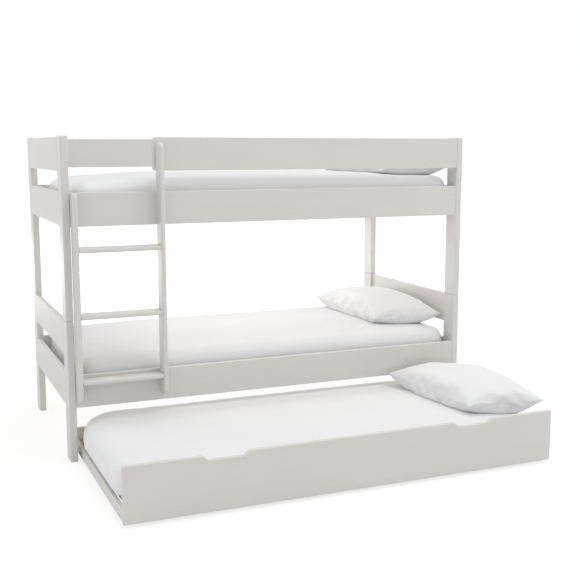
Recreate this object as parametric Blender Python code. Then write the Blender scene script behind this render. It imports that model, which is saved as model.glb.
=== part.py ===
"""Bunk bed with trundle: two stacked single beds in painted wood, a front ladder and a rolling trundle.

Metres, +Z up. +X runs along the bed and +Y from the ladder side to the back. The origin is on the floor, at the
middle of the part's outline in plan with the trundle drawn right out, as it is modelled here.
"""
import math

import bmesh
import bpy

# Whole bed
BED_LENGTH = 1.980
BED_WIDTH = 0.985
LOWER_RAIL_BOTTOM = 0.243
SEAT_GAP = 0.0003
CUT_OVERRUN = 0.002

# Posts, flat boards with their wide faces to the sides
POST_THICKNESS = 0.032
POST_DEPTH = 0.088
POST_PROUD = 0.0045
POST_ROUND = 0.003
UPPER_RAIL_RISE = 0.4072

# Rails between the posts along the bed, and planks between them across it
BOARD_HEIGHT = 0.145
BOARD_SPACE = 0.089
RAIL_THICKNESS = 0.022
PLANK_THICKNESS = 0.020
BOARD_ROUND = 0.002
GUARD_CORNER_RADIUS = 0.015

# Dowels that locate the upper bed on the lower one
DOWEL_HOLE_DIAMETER = 0.012
DOWEL_HOLE_DEPTH = 0.045
DOWEL_FIT = 0.0003
DOWEL_TIP_CLEARANCE = 0.002
DOWEL_SIDES = 16

# Slats and the bearers that carry them
BEARER_THICKNESS = 0.020
BEARER_HEIGHT = 0.030
BEARER_RISE = 0.024
SLAT_THICKNESS = 0.015
SLAT_WIDTH = 0.068
SLAT_COUNT = 13
SLAT_END_CLEARANCE = 0.002
SLAT_FIELD_MARGIN = 0.013
TAPE_WIDTH = 0.030
TAPE_THICKNESS = 0.0015
TAPE_BITE = 0.001
TAPE_PLACE_SHARES = (0.25, 0.75)

# Ladder
STILE_THICKNESS = 0.021
STILE_DEPTH = 0.070
STILE_POST_GAP = 0.0015
STILE_CORNER_RADIUS = 0.028
STILE_NOSE = 0.008
LADDER_CLEAR_WIDTH = 0.354
LADDER_FOOT_RISE = 0.032
LEFT_STILE_DROP = 0.001
RIGHT_STILE_DROP = 0.023
TREAD_THICKNESS = 0.021
TREAD_SET_BACK = 0.004
TREAD_BACK_GAP = 0.001
TREAD_NOSE = 0.008
NOSE_STEPS = 2
FIRST_TREAD_RISE = 0.0995
TREAD_SPACING = 0.2865
TREAD_COUNT = 3
GUARD_OVERHANG = 0.0115

# Trundle
TRUNDLE_TRAVEL = 0.814
TRUNDLE_FLOOR_GAP = 0.013
TRUNDLE_RAIL_GAP = 0.009
TRUNDLE_SIDE_GAP = 0.011
TRUNDLE_BACK_GAP = 0.003
FRONT_PANEL_THICKNESS = 0.020
BACK_PANEL_THICKNESS = 0.018
BACK_PANEL_HEIGHT = 0.097
END_BOARD_THICKNESS = 0.018
END_BOARD_INSET = 0.005
END_BOARD_FLOOR_GAP = 0.011
TRUNDLE_SLAT_THICKNESS = 0.012
TRUNDLE_BEARER_THICKNESS = 0.020
TRUNDLE_BEARER_HEIGHT = 0.023
MIDDLE_BEARER_WIDTH = 0.040
TRUNDLE_SLAT_MARGIN = 0.012
FINGER_CUT_WIDTH = 0.190
FINGER_CUT_SLOPE = 0.0235
FINGER_CUT_DEPTH = 0.018
FINGER_CUT_INSET = 0.399

# Castors
WHEEL_RADIUS = 0.019
WHEEL_WIDTH = 0.016
WHEEL_ROUND = 0.002
WHEEL_SIDES = 24
AXLE_DIAMETER = 0.006
AXLE_FIT = 0.0003
AXLE_HEAD_DIAMETER = 0.010
AXLE_HEAD_THICKNESS = 0.002
AXLE_SIDES = 16
AXLE_BITE = 0.001
WHEEL_SIDE_PLAY = 0.0005
WHEEL_TOP_CLEARANCE = 0.005
BRACKET_THICKNESS = 0.003
BRACKET_LENGTH = 0.040
BRACKET_HEIGHT = 0.026
CASTOR_BEARER_GAP = 0.015

# Mattresses
MATTRESS_SIDE_GAP = 0.0205
MATTRESS_END_GAP = 0.008
LOWER_MATTRESS_HEIGHT = 0.150
UPPER_MATTRESS_HEIGHT = 0.135
MATTRESS_CORNER_RADIUS = 0.065
MATTRESS_TOP_ROUND = 0.060
MATTRESS_FOOT_ROUND = 0.012
MATTRESS_DRAW_IN = 0.003
MATTRESS_CROWN = 0.008
TRUNDLE_MATTRESS_HEIGHT = 0.145
TRUNDLE_MATTRESS_CORNER_RADIUS = 0.200
TRUNDLE_MATTRESS_END_INSET = 0.001
TRUNDLE_MATTRESS_FRONT_GAP = 0.004
TRUNDLE_MATTRESS_BACK_GAP = 0.006
LEAST_CORNER_SHARE = 0.25
CORNER_STEPS = 6
ROUND_STEPS = 4
FOOT_STEPS = 2
CROWN_STEP_SHARES = (0.12, 0.30, 0.55)

# Pillows
PILLOW_WIDTH = 0.352
PILLOW_HEIGHT = 0.132
TRUNDLE_PILLOW_WIDTH = 0.410
PILLOW_SEAM_SHARE = 0.30
PILLOW_DRAW_IN_SHARE = 0.035
PILLOW_FULLNESS_SHARE = 0.42
PILLOW_FLATTEN_SHARE = 0.55
PILLOW_POST_CLEARANCE = 0.002
LOWER_PILLOW_BACK_GAP = 0.055
UPPER_PILLOW_FRONT_GAP = 0.092
UPPER_PILLOW_BACK_GAP = 0.056
TRUNDLE_PILLOW_RAIL_GAP = 0.015
TRUNDLE_PILLOW_PANEL_GAP = 0.075
TRUNDLE_PILLOW_END_INSET = 0.005
PILLOW_STEPS_ACROSS = 12
PILLOW_STEPS_ALONG = 16

# Places that follow from the sizes above
LEFT = -BED_LENGTH / 2
RIGHT = BED_LENGTH / 2
FRONT = (TRUNDLE_TRAVEL - BED_WIDTH) / 2
BACK = FRONT + BED_WIDTH
POST_INNER = RIGHT - POST_THICKNESS
LOWER_RAIL_TOP = LOWER_RAIL_BOTTOM + BOARD_HEIGHT
LOWER_TOP_PLANK_BOTTOM = LOWER_RAIL_TOP + BOARD_SPACE
LOWER_POST_TOP = LOWER_TOP_PLANK_BOTTOM + BOARD_HEIGHT + POST_PROUD
UPPER_POST_BOTTOM = LOWER_POST_TOP + SEAT_GAP
UPPER_RAIL_BOTTOM = UPPER_POST_BOTTOM + UPPER_RAIL_RISE
UPPER_RAIL_TOP = UPPER_RAIL_BOTTOM + BOARD_HEIGHT
GUARD_BOTTOM = UPPER_RAIL_TOP + BOARD_SPACE
GUARD_TOP = GUARD_BOTTOM + BOARD_HEIGHT
UPPER_POST_TOP = GUARD_TOP + POST_PROUD
SLAT_RISE = BEARER_RISE + BEARER_HEIGHT + SEAT_GAP
STILE_LEFT_FACE = -POST_INNER + STILE_POST_GAP
STILE_RIGHT_FACE = STILE_LEFT_FACE + STILE_THICKNESS + LADDER_CLEAR_WIDTH
LADDER_BOTTOM = LOWER_RAIL_BOTTOM + LADDER_FOOT_RISE
TRUNDLE_FRONT = FRONT - TRUNDLE_TRAVEL
TRUNDLE_INNER_FRONT = TRUNDLE_FRONT + FRONT_PANEL_THICKNESS
TRUNDLE_BACK = BACK - TRUNDLE_TRAVEL - TRUNDLE_BACK_GAP
TRUNDLE_INNER_BACK = TRUNDLE_BACK - BACK_PANEL_THICKNESS
TRUNDLE_HALF_LENGTH = POST_INNER - TRUNDLE_SIDE_GAP
TRUNDLE_PANEL_TOP = LOWER_RAIL_BOTTOM - TRUNDLE_RAIL_GAP
END_BOARD_OUTER = TRUNDLE_HALF_LENGTH - END_BOARD_INSET
END_BOARD_INNER = END_BOARD_OUTER - END_BOARD_THICKNESS
TRUNDLE_SLAT_BOTTOM = 2 * WHEEL_RADIUS + WHEEL_TOP_CLEARANCE
TRUNDLE_SLAT_TOP = TRUNDLE_SLAT_BOTTOM + TRUNDLE_SLAT_THICKNESS
CASTOR_INSET = TRUNDLE_BEARER_THICKNESS + CASTOR_BEARER_GAP + WHEEL_RADIUS
TREAD_DEPTH = STILE_DEPTH - TREAD_SET_BACK - TREAD_BACK_GAP
PILLOW_LENGTH = BED_WIDTH - RAIL_THICKNESS - UPPER_PILLOW_FRONT_GAP - UPPER_PILLOW_BACK_GAP
TRUNDLE_MIDDLE = (TRUNDLE_FRONT + TRUNDLE_BACK) / 2

PAINT = (0.61, 0.59, 0.55, 1.0)
BARE_WOOD = (0.66, 0.50, 0.33, 1.0)
COTTON = (0.88, 0.88, 0.88, 1.0)
ZINC = (0.55, 0.55, 0.56, 1.0)
RUBBER = (0.05, 0.05, 0.05, 1.0)
SMOOTH_BELOW = math.radians(35)


def clear_scene():
    """Remove the objects that the scene opens with."""
    for thing in list(bpy.data.objects):
        bpy.data.objects.remove(thing, do_unlink=True)


def finish(name, colour, roughness, metallic=0.0):
    """Return a material of its own for one sub-part."""
    material = bpy.data.materials.new(name + "_finish")
    material.use_nodes = True
    shader = material.node_tree.nodes["Principled BSDF"]
    shader.inputs["Base Color"].default_value = colour
    shader.inputs["Roughness"].default_value = roughness
    shader.inputs["Metallic"].default_value = metallic
    return material


def painted(name):
    return finish(name, PAINT, 0.45)


def bare_wood(name):
    return finish(name, BARE_WOOD, 0.6)


def cotton(name):
    return finish(name, COTTON, 0.9)


def place(name, shape, material, pivot=None, carrier=None, smooth=False):
    """Make the object of a shape modelled in place, with its origin at the pivot or at its own middle."""
    bmesh.ops.recalc_face_normals(shape, faces=shape.faces)
    if pivot is None:
        spans = [[vertex.co[axis] for vertex in shape.verts] for axis in range(3)]
        pivot = [(min(span) + max(span)) / 2 for span in spans]
    bmesh.ops.translate(shape, verts=shape.verts, vec=[-value for value in pivot])
    mesh = bpy.data.meshes.new(name)
    shape.to_mesh(mesh)
    shape.free()
    mesh.materials.append(material)
    if smooth:
        mesh.shade_smooth()
        mesh.set_sharp_from_angle(angle=SMOOTH_BELOW)
    thing = bpy.data.objects.new(name, mesh)
    bpy.context.scene.collection.objects.link(thing)
    thing.location = pivot
    if carrier is not None:
        thing.parent = carrier
        thing.location = [value - start for value, start in zip(pivot, carrier.location)]
    return thing


def add_box(shape, x, y, z):
    """Add a box between the two values given for each axis."""
    made = bmesh.ops.create_cube(shape, size=1.0)["verts"]
    bmesh.ops.scale(shape, verts=made, vec=(x[1] - x[0], y[1] - y[0], z[1] - z[0]))
    bmesh.ops.translate(shape, verts=made, vec=(sum(x) / 2, sum(y) / 2, sum(z) / 2))


def add_rod(shape, centre, radius, ends, axis, sides):
    """Add a closed cylinder along X or Z, between two values on that axis."""
    made = bmesh.ops.create_cone(shape, cap_ends=True, segments=sides, radius1=radius, radius2=radius,
                                 depth=ends[1] - ends[0])["verts"]
    if axis == "X":
        for vertex in made:
            vertex.co = (vertex.co.z, vertex.co.y, -vertex.co.x)
        bmesh.ops.translate(shape, verts=made, vec=(sum(ends) / 2, centre[0], centre[1]))
    else:
        bmesh.ops.translate(shape, verts=made, vec=(centre[0], centre[1], sum(ends) / 2))


def round_edges(thing, width, segments=1):
    """Round a piece's sharp edges."""
    bevel = thing.modifiers.new("Rounded edges", "BEVEL")
    bevel.width = width
    bevel.segments = segments
    bevel.limit_method = "ANGLE"


def board(name, x, y, z, material, width=BOARD_ROUND, carrier=None):
    """A plain rectangular board with its edges broken."""
    shape = bmesh.new()
    add_box(shape, x, y, z)
    thing = place(name, shape, material, carrier=carrier)
    round_edges(thing, width)
    return thing


def combine(thing, name, tool_shape, operation):
    """Cut a piece with a tool shape, or join that shape to it."""
    tool = place(name, tool_shape, finish(name, ZINC, 0.5), carrier=thing.parent)
    tool.hide_render = True
    tool.display_type = "WIRE"
    boolean = thing.modifiers.new(name, "BOOLEAN")
    boolean.operation = operation
    boolean.solver = "EXACT"
    boolean.object = tool


def arc(centre, radius, start, end, steps):
    """Points of an arc between two angles in degrees, both ends included."""
    points = []
    for step in range(steps + 1):
        angle = math.radians(start + (end - start) * step / steps)
        points.append((centre[0] + radius * math.cos(angle), centre[1] + radius * math.sin(angle)))
    return points


def extrude_outline(points, plane, start, end):
    """A prism from an outline in the XZ plane, pushed along Y, or in the YZ plane, pushed along X."""
    shape = bmesh.new()
    if plane == "XZ":
        verts = [shape.verts.new((a, start, b)) for a, b in points]
        push = (0, end - start, 0)
    else:
        verts = [shape.verts.new((start, a, b)) for a, b in points]
        push = (end - start, 0, 0)
    face = shape.faces.new(verts)
    grown = bmesh.ops.extrude_face_region(shape, geom=[face])["geom"]
    moved = [item for item in grown if isinstance(item, bmesh.types.BMVert)]
    bmesh.ops.translate(shape, verts=moved, vec=push)
    return shape


def side_faces(side):
    """The outer and inner X of a post at the left or right end, in rising order."""
    return (LEFT, -POST_INNER) if side == "left" else (POST_INNER, RIGHT)


def depth_faces(row):
    """The Y values of a post in the front or back row, in rising order."""
    return (FRONT, FRONT + POST_DEPTH) if row == "front" else (BACK - POST_DEPTH, BACK)


def build_posts():
    """Eight posts, with blind holes where the upper ones stand on the lower ones, and the dowels in them."""
    hole_radius = DOWEL_HOLE_DIAMETER / 2
    for side in ("left", "right"):
        for row in ("front", "back"):
            x = side_faces(side)
            y = depth_faces(row)
            middle = (sum(x) / 2, sum(y) / 2)
            tag = f"{row}_{side}"
            hole_bottom = LOWER_POST_TOP - DOWEL_HOLE_DEPTH
            hole_top = UPPER_POST_BOTTOM + DOWEL_HOLE_DEPTH
            name = "lower_post_" + tag
            lower = board(name, x, y, (0, LOWER_POST_TOP), painted(name), POST_ROUND)
            hole = bmesh.new()
            add_rod(hole, middle, hole_radius, (hole_bottom, LOWER_POST_TOP + CUT_OVERRUN), "Z", DOWEL_SIDES)
            combine(lower, "lower_hole_" + tag, hole, "DIFFERENCE")
            name = "upper_post_" + tag
            upper = board(name, x, y, (UPPER_POST_BOTTOM, UPPER_POST_TOP), painted(name), POST_ROUND)
            hole = bmesh.new()
            add_rod(hole, middle, hole_radius, (UPPER_POST_BOTTOM - CUT_OVERRUN, hole_top), "Z", DOWEL_SIDES)
            combine(upper, "upper_hole_" + tag, hole, "DIFFERENCE")
            dowel = bmesh.new()
            ends = (hole_bottom + SEAT_GAP, hole_top - DOWEL_TIP_CLEARANCE)
            add_rod(dowel, middle, hole_radius - DOWEL_FIT, ends, "Z", DOWEL_SIDES)
            place("dowel_" + tag, dowel, bare_wood("dowel_" + tag), smooth=True)


def build_end_planks():
    """Two planks across each end of each bed, flush with the posts' outer faces."""
    y = (FRONT + POST_DEPTH + SEAT_GAP, BACK - POST_DEPTH - SEAT_GAP)
    for side, x in (("left", (LEFT, LEFT + PLANK_THICKNESS)), ("right", (RIGHT - PLANK_THICKNESS, RIGHT))):
        for level, bottom in (("lower", LOWER_RAIL_BOTTOM), ("upper", UPPER_RAIL_BOTTOM)):
            for place_name, start in (("bottom", bottom), ("top", bottom + BOARD_HEIGHT + BOARD_SPACE)):
                name = f"{level}_{side}_{place_name}_plank"
                board(name, x, y, (start, start + BOARD_HEIGHT), painted(name))


def build_rails():
    """Side rails between the posts, and the full-length guard rail at the back."""
    x = (-POST_INNER + SEAT_GAP, POST_INNER - SEAT_GAP)
    front = (FRONT, FRONT + RAIL_THICKNESS)
    back = (BACK - RAIL_THICKNESS, BACK)
    for level, bottom in (("lower", LOWER_RAIL_BOTTOM), ("upper", UPPER_RAIL_BOTTOM)):
        for row, y in (("front", front), ("back", back)):
            name = f"{level}_{row}_side_rail"
            board(name, x, y, (bottom, bottom + BOARD_HEIGHT), painted(name))
    board("back_guard_rail", x, back, (GUARD_BOTTOM, GUARD_TOP), painted("back_guard_rail"))


def build_front_guard():
    """The front guard rail, which stops just past the ladder with rounded corners."""
    left = STILE_RIGHT_FACE - GUARD_OVERHANG
    right = POST_INNER - SEAT_GAP
    radius = GUARD_CORNER_RADIUS
    outline = [(right, GUARD_BOTTOM), (right, GUARD_TOP)]
    outline += arc((left + radius, GUARD_TOP - radius), radius, 90, 180, ROUND_STEPS)
    outline += arc((left + radius, GUARD_BOTTOM + radius), radius, 180, 270, ROUND_STEPS)
    shape = extrude_outline(outline, "XZ", FRONT, FRONT + RAIL_THICKNESS)
    round_edges(place("front_guard_rail", shape, painted("front_guard_rail")), BOARD_ROUND)


def slat_base(name, x, y, bottom, thickness, carrier=None):
    """Slats held at their spacing by two tapes under them, as one piece."""
    slats = bmesh.new()
    step = (x[1] - x[0] - SLAT_WIDTH) / (SLAT_COUNT - 1)
    for index in range(SLAT_COUNT):
        start = x[0] + index * step
        add_box(slats, (start, start + SLAT_WIDTH), y, (bottom, bottom + thickness))
    thing = place(name, slats, bare_wood(name), carrier=carrier)
    tapes = bmesh.new()
    for share in TAPE_PLACE_SHARES:
        middle = y[0] + share * (y[1] - y[0])
        add_box(tapes, (x[0] + TAPE_BITE, x[1] - TAPE_BITE), (middle - TAPE_WIDTH / 2, middle + TAPE_WIDTH / 2),
                (bottom - TAPE_THICKNESS, bottom + TAPE_BITE))
    combine(thing, name + "_tapes", tapes, "UNION")


def build_slats():
    """Bearers on the side rails and the slat base of each fixed bed."""
    x = (-POST_INNER + SEAT_GAP, POST_INNER - SEAT_GAP)
    inner_front = FRONT + RAIL_THICKNESS
    inner_back = BACK - RAIL_THICKNESS
    rows = (("front", (inner_front + SEAT_GAP, inner_front + BEARER_THICKNESS)),
            ("back", (inner_back - BEARER_THICKNESS, inner_back - SEAT_GAP)))
    for level, bottom in (("lower", LOWER_RAIL_BOTTOM), ("upper", UPPER_RAIL_BOTTOM)):
        for row, y in rows:
            name = f"{level}_{row}_bearer"
            board(name, x, y, (bottom + BEARER_RISE, bottom + BEARER_RISE + BEARER_HEIGHT), bare_wood(name))
        slat_base(level + "_slat_base", (x[0] + SLAT_FIELD_MARGIN, x[1] - SLAT_FIELD_MARGIN),
                  (inner_front + SLAT_END_CLEARANCE, inner_back - SLAT_END_CLEARANCE), bottom + SLAT_RISE,
                  SLAT_THICKNESS)


def stile(name, left, top):
    """A ladder upright with rounded front corners and a rounded nose."""
    front = FRONT - SEAT_GAP - STILE_DEPTH
    back = FRONT - SEAT_GAP
    radius = STILE_CORNER_RADIUS
    outline = [(back, LADDER_BOTTOM), (back, top)]
    outline += arc((front + radius, top - radius), radius, 90, 180, ROUND_STEPS)
    outline += arc((front + radius, LADDER_BOTTOM + radius), radius, 180, 270, ROUND_STEPS)
    shape = extrude_outline(outline, "YZ", left, left + STILE_THICKNESS)
    nose = [edge for edge in shape.edges
            if is_side_edge(edge) and min(v.co.y for v in edge.verts) < back - SEAT_GAP]
    bmesh.ops.bevel(shape, geom=nose, offset=STILE_NOSE, segments=NOSE_STEPS, profile=0.5, affect="EDGES",
                    clamp_overlap=True)
    place(name, shape, painted(name), smooth=True)


def is_side_edge(edge):
    """Whether an edge lies in a side face, square to X."""
    return abs(edge.verts[0].co.x - edge.verts[1].co.x) < SEAT_GAP


def build_ladder():
    """Two uprights and the treads between them."""
    stile("ladder_left_stile", STILE_LEFT_FACE, UPPER_RAIL_TOP - LEFT_STILE_DROP)
    stile("ladder_right_stile", STILE_RIGHT_FACE, GUARD_TOP - RIGHT_STILE_DROP)
    x = (STILE_LEFT_FACE + STILE_THICKNESS + SEAT_GAP, STILE_RIGHT_FACE - SEAT_GAP)
    back = FRONT - TREAD_BACK_GAP
    for index in range(TREAD_COUNT):
        top = LADDER_BOTTOM + FIRST_TREAD_RISE + index * TREAD_SPACING
        shape = bmesh.new()
        add_box(shape, x, (back - TREAD_DEPTH, back), (top - TREAD_THICKNESS, top))
        nose = [edge for edge in shape.edges if all(v.co.y < back - TREAD_DEPTH / 2 for v in edge.verts)
                and abs(edge.verts[0].co.z - edge.verts[1].co.z) < SEAT_GAP]
        bmesh.ops.bevel(shape, geom=nose, offset=TREAD_NOSE, segments=NOSE_STEPS + 1, profile=0.5,
                        affect="EDGES")
        name = f"ladder_rung_{index + 1}"
        place(name, shape, painted(name), smooth=True)


def build_front_panel(carrier):
    """The trundle's front panel with its two finger cut-outs."""
    half = TRUNDLE_HALF_LENGTH
    top = TRUNDLE_PANEL_TOP
    outline = [(-half, TRUNDLE_FLOOR_GAP), (half, TRUNDLE_FLOOR_GAP), (half, top)]
    for middle in (half - FINGER_CUT_INSET, -half + FINGER_CUT_INSET):
        outer = FINGER_CUT_WIDTH / 2
        inner = outer - FINGER_CUT_SLOPE
        outline += [(middle + outer, top), (middle + inner, top - FINGER_CUT_DEPTH),
                    (middle - inner, top - FINGER_CUT_DEPTH), (middle - outer, top)]
    outline.append((-half, top))
    shape = extrude_outline(outline, "XZ", TRUNDLE_FRONT, TRUNDLE_INNER_FRONT)
    name = "trundle_front_panel"
    round_edges(place(name, shape, painted(name), carrier=carrier), BOARD_ROUND)


def build_trundle_frame(carrier):
    """The trundle's back panel, low end boards, bearers and slats."""
    inner_x = (-END_BOARD_INNER + SEAT_GAP, END_BOARD_INNER - SEAT_GAP)
    board("trundle_back_panel", (-END_BOARD_OUTER, END_BOARD_OUTER), (TRUNDLE_INNER_BACK, TRUNDLE_BACK),
          (TRUNDLE_FLOOR_GAP, TRUNDLE_FLOOR_GAP + BACK_PANEL_HEIGHT), painted("trundle_back_panel"),
          carrier=carrier)
    inner_y = (TRUNDLE_INNER_FRONT + SEAT_GAP, TRUNDLE_INNER_BACK - SEAT_GAP)
    ends = (("left", (-END_BOARD_OUTER, -END_BOARD_INNER)), ("right", (END_BOARD_INNER, END_BOARD_OUTER)))
    for side, x in ends:
        name = f"trundle_{side}_end_board"
        board(name, x, inner_y, (END_BOARD_FLOOR_GAP, TRUNDLE_SLAT_TOP), painted(name), carrier=carrier)
    z = (TRUNDLE_SLAT_BOTTOM - SEAT_GAP - TRUNDLE_BEARER_HEIGHT, TRUNDLE_SLAT_BOTTOM - SEAT_GAP)
    rows = (("front", (inner_y[0], inner_y[0] + TRUNDLE_BEARER_THICKNESS)),
            ("middle", (TRUNDLE_MIDDLE - MIDDLE_BEARER_WIDTH / 2, TRUNDLE_MIDDLE + MIDDLE_BEARER_WIDTH / 2)),
            ("back", (inner_y[1] - TRUNDLE_BEARER_THICKNESS, inner_y[1])))
    for row, y in rows:
        name = f"trundle_{row}_bearer"
        board(name, inner_x, y, z, bare_wood(name), carrier=carrier)
    slat_base("trundle_slat_base", (inner_x[0] + TRUNDLE_SLAT_MARGIN, inner_x[1] - TRUNDLE_SLAT_MARGIN),
              (inner_y[0] + SLAT_END_CLEARANCE, inner_y[1] - SLAT_END_CLEARANCE), TRUNDLE_SLAT_BOTTOM,
              TRUNDLE_SLAT_THICKNESS, carrier=carrier)


def build_castor(tag, side, y, carrier):
    """A bracket with a headed stub axle on an end board's inner face, and the wheel that turns on it."""
    inward = 1 if side == "left" else -1
    wall = -inward * (END_BOARD_INNER - SEAT_GAP)
    plate_end = wall + inward * BRACKET_THICKNESS
    wheel_start = plate_end + inward * WHEEL_SIDE_PLAY
    wheel_end = wheel_start + inward * WHEEL_WIDTH
    head_start = wheel_end + inward * WHEEL_SIDE_PLAY
    head_end = head_start + inward * AXLE_HEAD_THICKNESS
    centre = (y, WHEEL_RADIUS)
    plate = bmesh.new()
    add_box(plate, sorted((wall, plate_end)), (y - BRACKET_LENGTH / 2, y + BRACKET_LENGTH / 2),
            (END_BOARD_FLOOR_GAP, END_BOARD_FLOOR_GAP + BRACKET_HEIGHT))
    name = "castor_bracket_" + tag
    bracket = place(name, plate, finish(name, ZINC, 0.35, 1.0), carrier=carrier)
    axle = bmesh.new()
    axle_ends = sorted((plate_end - inward * AXLE_BITE, head_end - inward * AXLE_BITE))
    add_rod(axle, centre, AXLE_DIAMETER / 2, axle_ends, "X", AXLE_SIDES)
    combine(bracket, "castor_axle_" + tag, axle, "UNION")
    head = bmesh.new()
    add_rod(head, centre, AXLE_HEAD_DIAMETER / 2, sorted((head_start, head_end)), "X", AXLE_SIDES)
    combine(bracket, "castor_head_" + tag, head, "UNION")
    build_wheel("castor_wheel_" + tag, sorted((wheel_start, wheel_end)), centre, carrier)


def build_wheel(name, ends, centre, carrier):
    """A wheel turned about X, with a plain bore and softened rims."""
    bore = AXLE_DIAMETER / 2 + AXLE_FIT
    profile = [(bore, ends[0]), (WHEEL_RADIUS - WHEEL_ROUND, ends[0]), (WHEEL_RADIUS, ends[0] + WHEEL_ROUND),
               (WHEEL_RADIUS, ends[1] - WHEEL_ROUND), (WHEEL_RADIUS - WHEEL_ROUND, ends[1]), (bore, ends[1])]
    shape = bmesh.new()
    rings = []
    for index in range(WHEEL_SIDES):
        angle = 2 * math.pi * index / WHEEL_SIDES
        along, up = math.cos(angle), math.sin(angle)
        rings.append([shape.verts.new((x, centre[0] + radius * along, centre[1] + radius * up))
                      for radius, x in profile])
    for index, ring in enumerate(rings):
        following = rings[(index + 1) % WHEEL_SIDES]
        for point in range(len(profile)):
            after = (point + 1) % len(profile)
            shape.faces.new((ring[point], ring[after], following[after], following[point]))
    pivot = (sum(ends) / 2, centre[0], centre[1])
    place(name, shape, finish(name, RUBBER, 0.6), pivot=pivot, carrier=carrier, smooth=True)


def rounded_ring(shape, x, y, inset, radius, z):
    """One level of a cushion: a rectangle with round corners, drawn in by the inset."""
    corner = max(radius - inset, LEAST_CORNER_SHARE * radius)
    points = []
    for middle, start in (((x[1], y[1]), 0), ((x[0], y[1]), 90), ((x[0], y[0]), 180), ((x[1], y[0]), 270)):
        towards_x = -1 if middle[0] == x[1] else 1
        towards_y = -1 if middle[1] == y[1] else 1
        centre = (middle[0] + towards_x * (inset + corner), middle[1] + towards_y * (inset + corner))
        points += arc(centre, corner, start, start + 90, CORNER_STEPS)
    return [shape.verts.new((a, b, z)) for a, b in points]


def mattress(name, x, y, bottom, height, corner_radius, carrier=None):
    """A mattress with round plan corners, a full side, a rounded top edge and a slight crown."""
    shape = bmesh.new()
    shoulder = bottom + height - MATTRESS_CROWN
    levels = []
    for step in range(FOOT_STEPS + 1):
        angle = math.radians(90 * step / FOOT_STEPS)
        levels.append((MATTRESS_DRAW_IN + MATTRESS_FOOT_ROUND * (1 - math.sin(angle)),
                       bottom + MATTRESS_FOOT_ROUND * (1 - math.cos(angle))))
    levels.append((0, (bottom + MATTRESS_FOOT_ROUND + shoulder - MATTRESS_TOP_ROUND) / 2))
    for step in range(ROUND_STEPS + 1):
        angle = math.radians(90 * step / ROUND_STEPS)
        levels.append((MATTRESS_DRAW_IN + MATTRESS_TOP_ROUND * (1 - math.cos(angle)),
                       shoulder - MATTRESS_TOP_ROUND * (1 - math.sin(angle))))
    reach = (y[1] - y[0]) / 2 - MATTRESS_DRAW_IN - MATTRESS_TOP_ROUND
    deepest = CROWN_STEP_SHARES[-1]
    for share in CROWN_STEP_SHARES:
        rise = 1 - (1 - share / deepest) ** 2
        levels.append((MATTRESS_DRAW_IN + MATTRESS_TOP_ROUND + share * reach, shoulder + rise * MATTRESS_CROWN))
    rings = [rounded_ring(shape, x, y, inset, corner_radius, z) for inset, z in levels]
    shape.faces.new(rings[0])
    for ring, following in zip(rings, rings[1:]):
        for index in range(len(ring)):
            after = (index + 1) % len(ring)
            shape.faces.new((ring[index], ring[after], following[after], following[index]))
    shape.faces.new(rings[-1])
    place(name, shape, cotton(name), carrier=carrier, smooth=True)


def pillow(name, x, y, bottom, carrier=None):
    """A pillow with a flat underside, a full crown, a seam round it and sides drawn in between its corners."""
    shape = bmesh.new()
    half_x = (x[1] - x[0]) / 2
    half_y = (y[1] - y[0]) / 2
    seam = bottom + PILLOW_SEAM_SHARE * PILLOW_HEIGHT
    crown = PILLOW_HEIGHT * (1 - PILLOW_SEAM_SHARE)
    sag = PILLOW_HEIGHT * PILLOW_SEAM_SHARE
    layers = {}
    for layer in ("top", "underside"):
        for i in range(PILLOW_STEPS_ACROSS + 1):
            for j in range(PILLOW_STEPS_ALONG + 1):
                rim = i in (0, PILLOW_STEPS_ACROSS) or j in (0, PILLOW_STEPS_ALONG)
                if rim and layer == "underside":
                    layers[layer, i, j] = layers["top", i, j]
                    continue
                u = math.sin(math.pi * (i / PILLOW_STEPS_ACROSS - 0.5))
                v = math.sin(math.pi * (j / PILLOW_STEPS_ALONG - 0.5))
                across = u * (1 - PILLOW_DRAW_IN_SHARE * (1 - v * v) * u * u)
                along = v * (1 - PILLOW_DRAW_IN_SHARE * (1 - u * u) * v * v)
                fullness = max((1 - u * u) * (1 - v * v), 0) ** PILLOW_FULLNESS_SHARE
                if rim:
                    z = seam
                elif layer == "top":
                    z = seam + crown * fullness
                else:
                    z = seam - sag * min(fullness / PILLOW_FLATTEN_SHARE, 1)
                place_x = (x[0] + x[1]) / 2 + half_x * across
                place_y = (y[0] + y[1]) / 2 + half_y * along
                layers[layer, i, j] = shape.verts.new((place_x, place_y, z))
    for layer in ("top", "underside"):
        for i in range(PILLOW_STEPS_ACROSS):
            for j in range(PILLOW_STEPS_ALONG):
                corners = [layers[layer, i, j], layers[layer, i + 1, j], layers[layer, i + 1, j + 1],
                           layers[layer, i, j + 1]]
                shape.faces.new(corners if layer == "top" else corners[::-1])
    bmesh.ops.triangulate(shape, faces=shape.faces)
    place(name, shape, cotton(name), carrier=carrier, smooth=True)


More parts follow.
